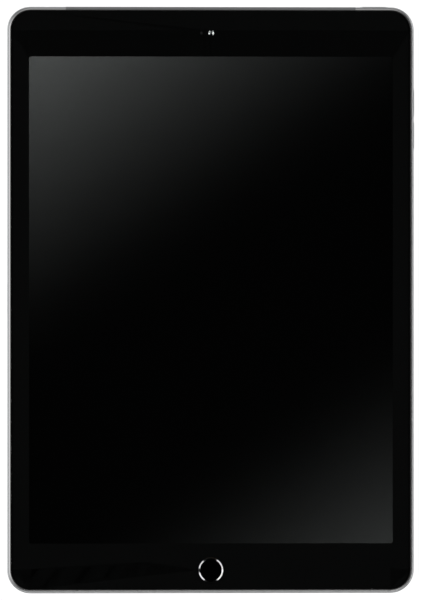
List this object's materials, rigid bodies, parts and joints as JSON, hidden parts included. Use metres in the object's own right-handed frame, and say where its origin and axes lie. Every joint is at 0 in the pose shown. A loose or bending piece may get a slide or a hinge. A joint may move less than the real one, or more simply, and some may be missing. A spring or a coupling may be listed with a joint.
{
  "type": "tablet computer",
  "caption": "Slim tablet computer with a black-bezelled glass front, round home button, grey metal shell, side buttons and a sliding card tray.",
  "frame": {"origin": "centre of the flat back, on the surface that the tablet lies on", "axes": "+Z out of the screen, +Y towards the front camera end, +X towards the volume buttons"},
  "size_m": [0.1742, 0.2508, 0.0075],
  "materials": {
    "case_aluminium": "bead-blasted and anodised grey, bevel machined bright",
    "antenna_plastic": "satin dark grey",
    "cover_glass": "polished clear",
    "black_ink": "black print behind glass",
    "black_rubber": "matte",
    "polarizer": "dark satin film",
    "panel_glass": "dark laminated glass",
    "acrylic": "clear moulded",
    "diffuser": "white film",
    "sheet_steel": "pressed sheet",
    "tray_aluminium": "pressed sheet",
    "battery_pouch": "dark laminated foil",
    "adhesive": "white strip",
    "circuit_board": "dark solder mask",
    "chip_resin": "moulded resin",
    "connector_plastic": "moulded ivory",
    "flex_film": "amber film",
    "black_plastic": "moulded black",
    "gold_contact": "gold plated",
    "magnet": "nickel plated",
    "sapphire_black": "polished, black behind",
    "ring_steel": "polished steel",
    "lens_glass": "coated lens"
  },
  "bodies": {
    "enclosure": {"rear_enclosure": "case_aluminium", "antenna_window": "antenna_plastic", "cover_glass": "cover_glass", "bezel_mask": "black_ink", "glass_gasket": "black_rubber", "display_polarizer": "polarizer", "lcd_panel": "panel_glass", "diffuser_films": "diffuser", "light_guide": "acrylic", "lcd_tray": "tray_aluminium", "lcd_screws": "sheet_steel", "display_flex": "flex_film", "digitizer_flex": "flex_film", "battery_cell_left": "battery_pouch", "battery_cell_right": "battery_pouch", "battery_adhesive": "adhesive", "battery_board": "circuit_board", "logic_board": "circuit_board", "board_chips": "chip_resin", "shield_cans": "sheet_steel", "board_connectors": "connector_plastic", "board_screws": "sheet_steel", "speaker_left": "black_plastic", "speaker_right": "black_plastic", "speaker_mesh_left": "sheet_steel", "speaker_mesh_right": "sheet_steel", "dock_connector": "black_plastic", "dock_contacts": "gold_contact", "headphone_jack": "black_plastic", "front_camera": "black_plastic", "front_camera_lens": "lens_glass", "front_camera_trim": "ring_steel", "light_sensor": "chip_resin", "rear_camera": "black_plastic", "rear_camera_lens": "lens_glass", "rear_camera_ring": "case_aluminium", "home_button_bracket": "sheet_steel", "home_button_switch": "sheet_steel", "home_button_gasket": "black_rubber", "home_button_flex": "flex_film", "top_button_switch": "black_plastic", "volume_switches": "black_plastic", "button_flex": "flex_film", "sim_reader": "sheet_steel", "sim_lever_pin": "sheet_steel", "side_connector_insulator": "black_plastic", "side_connector_contacts": "gold_contact", "cover_magnets": "magnet", "cellular_antennas": "black_plastic", "wifi_antennas": "black_plastic", "microphone": "sheet_steel"},
    "home_button": {"home_button_cap": "sapphire_black", "home_button_ring": "ring_steel", "fingerprint_sensor": "chip_resin"},
    "top_button": {"top_button": "case_aluminium"},
    "volume_up": {"volume_up_button": "case_aluminium"},
    "volume_down": {"volume_down_button": "case_aluminium"},
    "sim_tray": {"sim_tray": "case_aluminium"},
    "sim_lever": {"sim_lever": "sheet_steel"},
    "sim_plunger": {"sim_plunger": "sheet_steel"}
  },
  "joints": [
    {"name": "home_button_press", "type": "slide", "parent": "enclosure", "child": "home_button", "axis": [0, 0, -1], "range_m": [0, 0.00025], "stiffness_N_per_m": 1500, "springref_m": -0.0002},
    {"name": "top_button_press", "type": "slide", "parent": "enclosure", "child": "top_button", "axis": [0, -1, 0], "range_m": [0, 0.00025], "stiffness_N_per_m": 1500, "springref_m": -0.0002},
    {"name": "volume_up_press", "type": "slide", "parent": "enclosure", "child": "volume_up", "axis": [-1, 0, 0], "range_m": [0, 0.00025], "stiffness_N_per_m": 1500, "springref_m": -0.0002},
    {"name": "volume_down_press", "type": "slide", "parent": "enclosure", "child": "volume_down", "axis": [-1, 0, 0], "range_m": [0, 0.00025], "stiffness_N_per_m": 1500, "springref_m": -0.0002},
    {"name": "sim_tray_slide", "type": "slide", "parent": "enclosure", "child": "sim_tray", "axis": [1, 0, 0], "range_m": [0, 0.025]},
    {"name": "sim_plunger_press", "type": "slide", "parent": "enclosure", "child": "sim_plunger", "axis": [-1, 0, 0], "range_m": [0, 0.001]},
    {"name": "sim_lever_swing", "type": "hinge", "parent": "enclosure", "child": "sim_lever", "pos_m": [0.0687, -0.0755, 0.003], "axis": [0, 0, 1], "range_deg": [0, 14.75]}
  ],
  "couplings": [
    {"joint": "sim_lever_swing", "follows": "sim_plunger_press", "rad_per_m": 256.4}
  ]
}
